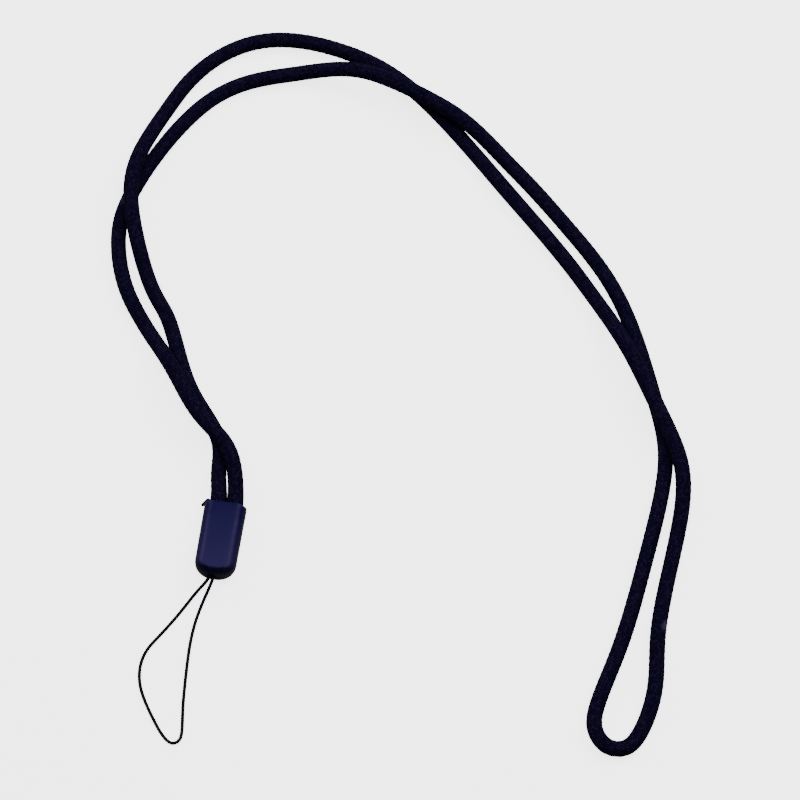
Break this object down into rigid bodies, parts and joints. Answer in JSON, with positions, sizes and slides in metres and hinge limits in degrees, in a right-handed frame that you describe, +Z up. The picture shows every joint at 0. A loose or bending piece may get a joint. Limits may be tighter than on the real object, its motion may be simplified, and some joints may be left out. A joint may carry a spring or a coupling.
{
  "type": "phone neck strap",
  "caption": "Neck strap for a phone, lying flat: a long braided cord loop, its ends seated side by side in a moulded ferrule, and a thin string loop for the phone's eyelet.",
  "frame": {"origin": "on the surface that the strap lies on, under the middle of the ferrule", "axes": "+Y along the ferrule towards the mouth that the neck cord enters, +Z up from the surface, +X across the ferrule towards the side where the neck cord's long loop lies"},
  "size_m": [0.1854, 0.2372, 0.0097],
  "materials": {
    "ferrule": "semi-matte moulded plastic, dark navy",
    "neck_cord": "round braided cord, near-black navy",
    "string_loop": "thin twisted string, black"
  },
  "bodies": {
    "root": {"ferrule": "ferrule", "neck_cord": "neck_cord", "string_loop": "string_loop"}
  },
  "joints": []
}
